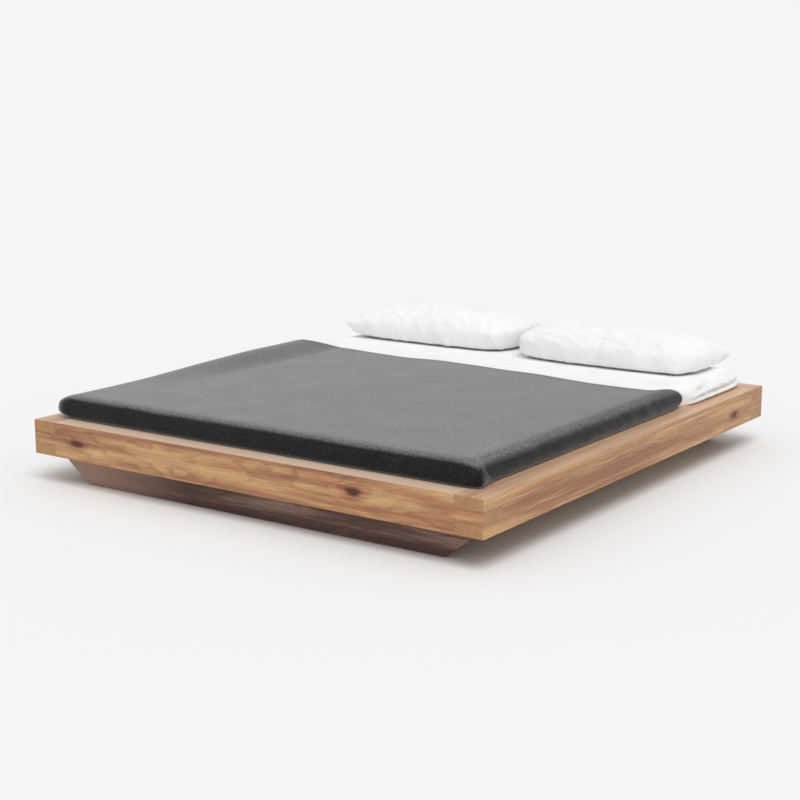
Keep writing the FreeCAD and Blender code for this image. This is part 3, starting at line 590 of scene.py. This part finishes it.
core = [(hi[i] - lo[i]) / 2 - fitted["corner"] - fitted["thick"] / 2 for i in (0, 1)]
tightLine, looseLine = edgeLine(fitted["tight"]), edgeLine(fitted["loose"])
sheetFlat = [2 * (core[i] + tightLine[0][-1]) for i in (0, 1)]
halfWide, halfLong = sheetFlat[0] / 2, sheetFlat[1] / 2
bm = bmesh.new()
flatCloth(bm, steps(-halfWide, halfWide, fitted["coarse"], fitted["fine"], fitted["bandsAcross"]),
          steps(-halfLong, halfLong, fitted["coarse"], fitted["fine"], fitted["bandsAlong"]))
looseLines = {}
for vert in bm.verts:
    u, v = vert.co.x, vert.co.y
    loose = round(soften(*fitted["looseFrom"], v) * fitted["looseSteps"])
    if loose not in looseLines:
        share = loose / fitted["looseSteps"]
        looseLines[loose] = tightLine[0], [a.lerp(b, share) for a, b in zip(tightLine[1], looseLine[1])]
    p = wrapPoint(u, v, core, looseLines[loose], looseLine if v > 0 else tightLine, fitted["square"])
    # loose cloth hangs in long slack folds that rise to the head corners, with finer creases
    show = soften(*fitted["foldsFrom"], p.y) * soften(*fitted["foldsOver"], p.z)
    show *= 1 - soften(*fitted["foldsUnder"], p.z)
    show *= soften(*fitted["foldsOut"], max(abs(p.x), abs(p.y) - 0.1))
    push = 0.0
    for depth, half, heights in fitted["folds"]:
        waver = fitted["waver"] * noise.noise(Vector((p.y * 6 + depth * 900, 1.5, math.copysign(2, p.x))))
        push -= depth * math.exp(-((p.z - smoothLine(heights, p.y) - waver) / half) ** 2)
    push += fitted["crease"] * noise.noise(Vector((p.y * 20 + p.z * 50, p.z * 9, p.x * 3)))
    outward = Vector((p.x / 0.94 if abs(p.x) > 0.85 else 0, max(0, p.y - 0.93) / 0.1, 0))
    if show > 0 and outward.length > 0:
        p += outward.normalized() * push * show
    # the top sinks and swells a little between the pillows and the blanket
    top = soften(*fitted["rippleTop"], p.z) * soften(*fitted["rippleFrom"], p.y)
    top *= 1 - soften(*fitted["rippleTo"], p.y)
    p.z += fitted["ripple"] * top * noise.noise(Vector((p.x * 7, p.y * 11, 2.0)))
    vert.co = p
bmesh.ops.recalc_face_normals(bm, faces=bm.faces)
fittedSheet = newPiece("fittedSheet", bm, [percale])
wall = fittedSheet.modifiers.new("thickness", "SOLIDIFY")
wall.thickness, wall.offset = fitted["thick"], 0
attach(fittedSheet, "mattress_set")
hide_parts("fitted_sheet")
print("fitted sheet laid")


# Foam mattress in its ticking cover, with a cord of piping round each edge.
mattressMake = {"corner": 0.060, "edge": 0.030, "piping": 0.004}


def roundedBlock(bm, lo, hi, corner, edge, segments=(8, 5)):
    made = bmesh.ops.create_cube(bm, size=1)["verts"]
    bmesh.ops.scale(bm, vec=hi - lo, verts=made)
    bmesh.ops.translate(bm, vec=(hi + lo) / 2, verts=made)
    upright = [e for e in bm.edges if abs(e.verts[0].co.z - e.verts[1].co.z) > 0.01]
    bmesh.ops.bevel(bm, geom=upright, offset=corner, segments=segments[0], affect="EDGES", profile=0.5,
                    material=-1)
    rims = [e for e in bm.edges if abs(e.verts[0].co.z - e.verts[1].co.z) < 1e-6 and len(e.link_faces) == 2
            and abs(e.link_faces[0].normal.z - e.link_faces[1].normal.z) > 0.5]
    bmesh.ops.bevel(bm, geom=rims, offset=edge, segments=segments[1], affect="EDGES", profile=0.5,
                    material=-1)


# A cord of piping round a block: its ring is extruded along the straights and spun at corners.
def pipingLoop(bm, lo, hi, corner, height, thick):
    ring = bmesh.ops.create_circle(bm, segments=8, radius=thick, cap_ends=False)["verts"]
    start = Vector((hi.x, lo.y + corner, height))
    bmesh.ops.rotate(bm, verts=ring, cent=(0, 0, 0), matrix=Matrix.Rotation(math.pi / 2, 3, "X"))
    bmesh.ops.translate(bm, vec=start, verts=ring)
    front = [e for e in bm.edges if all(v in set(ring) for v in e.verts)]
    runs = [(Vector((0, hi.y - lo.y - 2 * corner, 0)), Vector((hi.x - corner, hi.y - corner, height))),
            (Vector((lo.x - hi.x + 2 * corner, 0, 0)), Vector((lo.x + corner, hi.y - corner, height))),
            (Vector((0, lo.y - hi.y + 2 * corner, 0)), Vector((lo.x + corner, lo.y + corner, height))),
            (Vector((hi.x - lo.x - 2 * corner, 0, 0)), Vector((hi.x - corner, lo.y + corner, height)))]
    for run, turn in runs:
        out = bmesh.ops.extrude_edge_only(bm, edges=front)["geom"]
        moved = [g for g in out if isinstance(g, bmesh.types.BMVert)]
        bmesh.ops.translate(bm, vec=run, verts=moved)
        front = [g for g in out if isinstance(g, bmesh.types.BMEdge)]
        spun = bmesh.ops.spin(bm, geom=front + moved, cent=turn, axis=(0, 0, 1), dvec=(0, 0, 0),
                              angle=math.pi / 2, steps=8)
        front = [g for g in spun["geom_last"] if isinstance(g, bmesh.types.BMEdge)]
    bmesh.ops.remove_doubles(bm, verts=bm.verts, dist=1e-5)


lo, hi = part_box("mattress")
bm = bmesh.new()
corner, edge, piping = mattressMake["corner"], mattressMake["edge"], mattressMake["piping"]
inset = Vector((piping, piping, 0))
roundedBlock(bm, lo + inset * 0.5, hi - inset * 0.5, corner, edge)
for height in (lo.z + edge, hi.z - edge):
    pipingLoop(bm, lo + inset, hi - inset, corner - piping, height, piping)
bmesh.ops.recalc_face_normals(bm, faces=bm.faces)
mattress = newPiece("foamMattress", bm, [ticking])
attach(mattress, "mattress_set")
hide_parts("mattress")
print("mattress sewn")


# Blanket. core: the right edge and the foot edge of the level part. side and foot: over the
# shoulder, in under the swell, along the beam and down the gap. Pairs are for the left and the right.
throw = {
    "thick": 0.004, "coarse": 0.0145, "fine": 0.008, "bandsAcross": (0.25, 0.25), "bandsAlong": (0.26, 0.05),
    "core": (0.870, -0.955), "head": 0.420, "square": (0.55, 0.85),
    "side": [(0, 0.3302), (0.024, 0.3282), (0.043, 0.3170), (0.055, 0.296), (0.060, 0.272),
             (0.054, 0.2515), (0.042, 0.2463), (0.031, 0.2440), (0.0261, 0.230), (0.0261, 0.189)],
    "foot": [(0, 0.3302), (0.032, 0.3298), (0.058, 0.3262), (0.074, 0.3150), (0.081, 0.2950),
             (0.082, 0.268), (0.072, 0.2505), (0.058, 0.2463), (0.046, 0.2440), (0.0411, 0.230),
             (0.0411, 0.189)],
    # where the head edge lies, across the flat cloth from left to right, and how far that reaches
    "headEdge": [(-1.07, 0.33), (-0.97, 0.36), (-0.93, 0.378), (-0.86, 0.393), (-0.77, 0.430),
                 (-0.66, 0.430), (-0.53, 0.412), (-0.41, 0.400), (-0.30, 0.396), (-0.18, 0.418),
                 (-0.06, 0.412), (0.05, 0.402), (0.18, 0.384), (0.33, 0.380), (0.48, 0.357),
                 (0.62, 0.337), (0.82, 0.337), (0.872, 0.350), (0.900, 0.415), (0.920, 0.476),
                 (0.940, 0.502), (0.962, 0.503), (0.985, 0.458), (1.01, 0.400), (1.07, 0.375)],
    "headReach": 0.55,
    # loose cloth swells out along the left side, and rises there towards the head
    "rest": 0.2475, "belly": 0.266, "shoulder": (0.300, 0.331), "leftSwell": 0.036, "leftRise": 0.025,
    "hollow": 0.0016, "drape": 0.003, "tightCorner": (0.11, 0.25), "hemUp": 0.0012,
    "curl": 0.024, "curlTo": 0.8965,   # the head end of the side turns in to the sheet
    # the folded corner: its grid, its reach down the side, and how it comes out from under the roll
    "flapGrid": (34, 12), "flapFlat": 0.14, "flapReach": 0.088, "flapTop": 0.3235, "flapLift": 0.0048,
    "flapSunk": 0.003, "flapBend": (0.045, 0.010), "flapStart": 0.004, "hemStart": 0.002,
    "flapCorner": ((1.03, 0.75), (1.13, 0.83)),
}
sideLine, footLine = edgeLine(throw["side"]), edgeLine(throw["foot"])
sideDrop, footDrop = sideLine[0][-1], footLine[0][-1]
coreWide, coreFoot = throw["core"]
blanketFlat = (2 * (coreWide + sideDrop), throw["head"] - coreFoot + footDrop)


def bellyAt(z):  # how much of the left side's swell shows at a height
    return soften(throw["rest"], throw["belly"], z) * (1 - 0.55 * soften(*throw["shoulder"], z))


# u runs across the bed, y along it, and past the core's foot edge y counts down the foot side.
def blanketPoint(u, y):
    past = throw["head"] - y   # how far from the head edge, on the flat cloth
    edge = smoothLine(throw["headEdge"], u) - throw["head"]
    square = throw["square"][0 if u < 0 else 1]
    p = wrapPoint(u, min(0, y - coreFoot) - 1, (coreWide, 1), sideLine, footLine, square)
    p.y += 1 + coreFoot
    if y > coreFoot:
        p.y = y + edge * (1 - soften(0, throw["headReach"], past))
    above = soften(throw["rest"] + 0.001, 0.275, p.z)   # what lies on the beam stays as it is
    left = soften(0.74, 0.90, -p.x)
    belly = bellyAt(p.z)
    onBeam = soften(throw["rest"] - 0.001, throw["rest"], p.z)
    p.x -= throw["leftSwell"] * left * belly + 0.006 * left * onBeam
    headward = 0.55 * soften(-0.95, 0.1, p.y) + 0.45 * soften(-0.6, 0.1, p.y)
    p.z += throw["leftRise"] * soften(0.70, 0.90, -p.x) * headward * above
    # soft hollows and swells on the top and down the sides
    swell = noise.noise(Vector((p.x * 2.1, p.y * 2.4, 4.0)))
    swell += 0.5 * noise.noise(Vector((p.x * 6, p.y * 5, 9.0)))
    p.z += throw["hollow"] * swell * above
    drape = throw["drape"] * noise.noise(Vector((p.x * 8 + p.y * 8, p.y * 7 - p.x * 6, p.z * 12)))
    drape *= soften(throw["rest"], 0.262, p.z) * (1 - soften(0.315, 0.330, p.z))
    drape *= soften(*throw["tightCorner"], math.hypot(abs(p.x) - coreWide, p.y - coreFoot))
    if y < coreFoot:
        p.y -= drape
    if abs(u) > coreWide:
        p.x += math.copysign(drape, u)
        turn = max(0, 1 - past / throw["curl"])
        turnIn = min(0, throw["curlTo"] - abs(p.x)) * (1 - math.sqrt(1 - turn * turn))
        p.x = math.copysign(abs(p.x) + turnIn, u)
    p.z += throw["hemUp"] * (1 - soften(0, 0.025, past)) * soften(0.318, 0.328, p.z)
    return p


bm = bmesh.new()
halfWide = blanketFlat[0] / 2
flatCloth(bm, steps(-halfWide, halfWide, throw["coarse"], throw["fine"], throw["bandsAcross"]),
          steps(coreFoot - footDrop, throw["head"], throw["coarse"], throw["fine"], throw["bandsAlong"]))
for vert in bm.verts:
    vert.co = blanketPoint(vert.co.x, vert.co.y)

# The envelope fold at each foot corner: cloth from the foot laid round the corner, its edge slanting
#  down the side with a painted highlight along it.
for side in (1, -1):
    (columns, rows), flatWide = throw["flapGrid"], throw["flapFlat"]
    top, rest = throw["flapTop"], throw["rest"]
    flap = flatCloth(bm, [flatWide * k / columns for k in range(columns + 1)],
                     [-(top + (rest - top) * k / rows) for k in range(rows + 1)])
    edgeHighlightFrom = flatWide * (1 - 1.5 / columns)
    # the edge column gets the painted highlight, the rest the wool painted dark all over
    for face in {f for v in flap for f in v.link_faces}:
        isPaintedEdge = min(v.co.x for v in face.verts) > edgeHighlightFrom
        face.material_index = 1 if isPaintedEdge else 2
    bend = throw["flapBend"][0 if side < 0 else 1]
    curve = bend * math.pi / 2
    for vert in flap:
        z = -vert.co.y
        down = (top - z) / (top - rest)
        swell = throw["leftSwell"] * bellyAt(z) if side < 0 else 0
        # it begins under the cloth of the foot, comes out round the corner and from under the roll
        start = throw["flapStart"]
        hemAt = throw["hemStart"] + (curve + throw["flapReach"] - throw["hemStart"]) * down
        run = vert.co.x / flatWide * (start + hemAt) - start
        out = soften(-start, curve, run) * soften(0, 0.12, down)
        lift = throw["flapLift"] - (throw["flapLift"] + throw["flapSunk"]) * (1 - out)
        # the corner under it is rounded off: a little wide of the side, and short of the foot
        sideOut, footOut = outAt(sideLine, z), outAt(footLine, z)
        wide, short = throw["flapCorner"][0 if side < 0 else 1]
        beyond = max(0, run - curve)
        x = coreWide + wide * sideOut + swell - bend
        x -= (wide - 1) * sideOut * soften(0, short * footOut, beyond)
        y = coreFoot - short * footOut + bend
        angle = min(max(0, run), curve) / bend
        vert.co = Vector((side * (x + min(0, run) + (bend + lift) * math.sin(angle)),
                          y - (bend + lift) * math.cos(angle) + beyond, z))
blanket = newPiece("woolBlanket", bm, [wool, paintedEdgeHighlight, shadedWool])
wall = blanket.modifiers.new("thickness", "SOLIDIFY")
wall.thickness, wall.offset = throw["thick"], 0
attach(blanket, "mattress_set")
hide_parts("blanket")
print("blanket draped, cut to", [round(x, 3) for x in blanketFlat])


# Pillows: two panels sewn together, blown up by the simulation. simulated: how much of the final
# form is the simulated one. undercut: how sharply the underside curves in to where it lies.
pillowSew = {
    "panel": (0.97, 0.54), "step": 0.0095, "plump": 0.035, "frames": 26,
    "cloth": {"quality": 6, "mass": 0.2, "tension_stiffness": 22, "compression_stiffness": 22,
              "shear_stiffness": 8, "bending_stiffness": 0.6, "air_damping": 4,
              "use_pressure": True, "uniform_pressure_force": 7.0},
    "seamAt": 0.060, "simulated": 0.3, "undercut": 3.2, "blownUndercut": 2.6, "dent": (0.965, 0.07),
    "fold": 0.0055, "foldScale": (5, 17), "fineScale": (12, 40),   # per metre along and across a fold
    "slack": 0.004, "fillShare": (0.985, 0.975, 0.995),   # how far the filling keeps clear of its case
}
# How each pillow lies. rounded: how round its corners are, and lift: how far they stand up, both as
# front left, front right, back left, back right. tail: how suddenly it thins to the left and right.
# slant: how steeply its folds run down to the right, in degrees.
pillowLies = {
    "left": {"seed": 1.7, "rounded": (0.3, 1.0, 0.4, 0.6), "lift": (0.022, 0.026, 0.0, 0.040),
             "tail": (2.3, 3.4), "slant": 48},
    "right": {"seed": 5.3, "rounded": (1.0, 0.95, 0.6, 0.1), "lift": (0.030, 0.004, 0.0, -0.014),
              "tail": (2.6, 4.6), "slant": 22},
}


def cornerMix(values, x, y, power):  # blends four corner values over the pillow
    left, right = ((1 - x) / 2) ** power, ((1 + x) / 2) ** power
    front, back = (1 - y) / 2, (1 + y) / 2
    shares = (left * front, right * front, left * back, right * back)
    return sum(value * share for value, share in zip(values, shares))


# Where the point (x, y), from -1 to 1, of the upper or lower panel of a filled pillow lies.
def pillowPoint(x, y, upper, lie, lo, hi):
    rounded = cornerMix(lie["rounded"], x, y, 1)
    tail = lie["tail"][0 if x < 0 else 1]
    full = math.sqrt(max(0, (1 - abs(x) ** tail) * (1 - abs(y) ** 2.2)))
    seam = pillowSew["seamAt"] + cornerMix(lie["lift"], x, y, 3)
    level, uneven = pillowSew["dent"]
    dent = level + uneven * noise.noise(Vector((x * 2.4 + lie["seed"], y * 1.4, 3.0)))
    if upper:
        z = seam + (hi.z - lo.z - seam) * full * dent
    else:
        z = seam * (1 - math.tanh(pillowSew["undercut"] * full))
    wide = x * math.sqrt(1 - rounded * y * y / 2)
    deep = y * math.sqrt(1 - rounded * x * x / 2)
    middle, half = (lo + hi) / 2, (hi - lo) / 2
    return Vector((middle.x + wide * half.x, middle.y + deep * half.y, lo.z + z))


def sewnPillow(name):  # two flat panels sewn together at their edges, and where each point is on them
    bm = bmesh.new()
    (wide, deep), step = pillowSew["panel"], pillowSew["step"]
    bmesh.ops.create_grid(bm, x_segments=round(wide / step), y_segments=round(deep / step), size=0.5)
    bmesh.ops.scale(bm, vec=(wide, deep, 1), verts=bm.verts)
    upper = list(bm.verts)
    copy = bmesh.ops.duplicate(bm, geom=bm.verts[:] + bm.edges[:] + bm.faces[:])
    lower = [g for g in copy["geom"] if isinstance(g, bmesh.types.BMVert)]
    bmesh.ops.reverse_faces(bm, faces=[g for g in copy["geom"] if isinstance(g, bmesh.types.BMFace)])
    for way, verts in ((1, upper), (-1, lower)):
        for vert in verts:
            x, y = vert.co.x / wide * 2, vert.co.y / deep * 2
            vert.co.z = way * pillowSew["plump"] * (1 - min(1, abs(x)) ** 3) * (1 - min(1, abs(y)) ** 2)
    bmesh.ops.remove_doubles(bm, verts=bm.verts, dist=1e-4)
    bmesh.ops.recalc_face_normals(bm, faces=bm.faces)
    if bm.calc_volume(signed=True) < 0:
        bmesh.ops.reverse_faces(bm, faces=bm.faces)
    bm.verts.index_update()
    spots = [(max(-1, min(1, v.co.x / wide * 2)), max(-1, min(1, v.co.y / deep * 2)), v.co.z >= 0)
             for v in bm.verts]
    return newPiece(name, bm, [percale]), spots


def inflate(piece, frames):  # blows a sewn case up, and keeps the result as its mesh
    scene = bpy.context.scene
    soft = piece.modifiers.new("inflate", "CLOTH")
    for key, value in pillowSew["cloth"].items():
        setattr(soft.settings, key, value)
    soft.settings.effector_weights.gravity = 0
    soft.point_cache.frame_start, soft.point_cache.frame_end = 1, frames
    for f in range(1, frames + 1):
        scene.frame_set(f)
    shaped = bpy.data.meshes.new_from_object(piece.evaluated_get(bpy.context.evaluated_depsgraph_get()))
    piece.modifiers.clear()
    old = piece.data
    piece.data = shaped
    bpy.data.meshes.remove(old)
    scene.frame_set(1)


# Lays a filled pillow in its box: part simulated, part formed, then its slanting folds.
def settle(piece, spots, lie, lo, hi, simulated):
    co = [v.co.copy() for v in piece.data.vertices]
    low = Vector([min(c[i] for c in co) for i in range(3)])
    high = Vector([max(c[i] for c in co) for i in range(3)])
    seamAt, size = pillowSew["seamAt"], hi - lo
    for vert, c, (x, y, upper) in zip(piece.data.vertices, co, spots):
        if c.z >= 0:
            up = (size.z - seamAt) * c.z / high.z
        else:
            up = -seamAt * math.tanh(pillowSew["blownUndercut"] * c.z / low.z)
        blown = lo + Vector(((c.x - low.x) / (high.x - low.x) * size.x,
                             (c.y - low.y) / (high.y - low.y) * size.y, seamAt + up))
        vert.co = pillowPoint(x, y, upper, lie, lo, hi).lerp(blown, simulated)
    piece.data.update()
    normals = [v.normal.copy() for v in piece.data.vertices]
    middle, slant = (lo + hi) / 2, math.radians(lie["slant"])
    for vert, normal in zip(piece.data.vertices, normals):
        spot = vert.co - middle
        rise = spot.z + 0.6 * spot.y   # how far up the front and back over the top
        across = spot.x * math.sin(slant) + rise * math.cos(slant)
        along = spot.x * math.cos(slant) - rise * math.sin(slant)
        (a, b), (c, d) = pillowSew["foldScale"], pillowSew["fineScale"]
        crest = 1 - 5 * abs(noise.noise(Vector((along * a, across * b, lie["seed"]))))
        fine = 1 - 5 * abs(noise.noise(Vector((along * c, across * d, lie["seed"] + 9))))
        front = soften(0.02, -0.12, spot.y) * soften(lo.z, lo.z + 0.02, vert.co.z)
        ends = soften(0.5, 0.42, abs(spot.x) / size.x)
        raised = max(0, crest) + 0.4 * max(0, fine) - 0.6
        vert.co += normal * pillowSew["fold"] * (0.25 + 0.75 * front) * ends * raised


for side, lie in pillowLies.items():
    lo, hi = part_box("pillowcase_" + side)
    case, spots = sewnPillow("cottonPillowcase" + side.title())
    inflate(case, pillowSew["frames"])
    settle(case, spots, lie, lo, hi, pillowSew["simulated"])
    case.data.polygons.foreach_set("use_smooth", [True] * len(case.data.polygons))
    filling = bpy.data.objects.new("featherPillow" + side.title(), case.data.copy())
    bpy.context.scene.collection.objects.link(filling)
    filling.data.materials.clear()
    filling.data.materials.append(ticking)
    centre, share = (lo + hi) / 2, Vector(pillowSew["fillShare"])
    for vert in filling.data.vertices:
        vert.co = centre + (vert.co - pillowSew["slack"] * vert.normal - centre) * share
    smoother = case.modifiers.new("smooth", "SUBSURF")
    smoother.levels = smoother.render_levels = 1
    for piece, node, slot, fill in ((case, "pillowcase_", "white_cotton", 0.75),
                                    (filling, "pillow_", "pillow_ticking", 0.8)):
        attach(piece, "pillow_set_" + side)
        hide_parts(node + side)
    print("pillow", side, "filled")
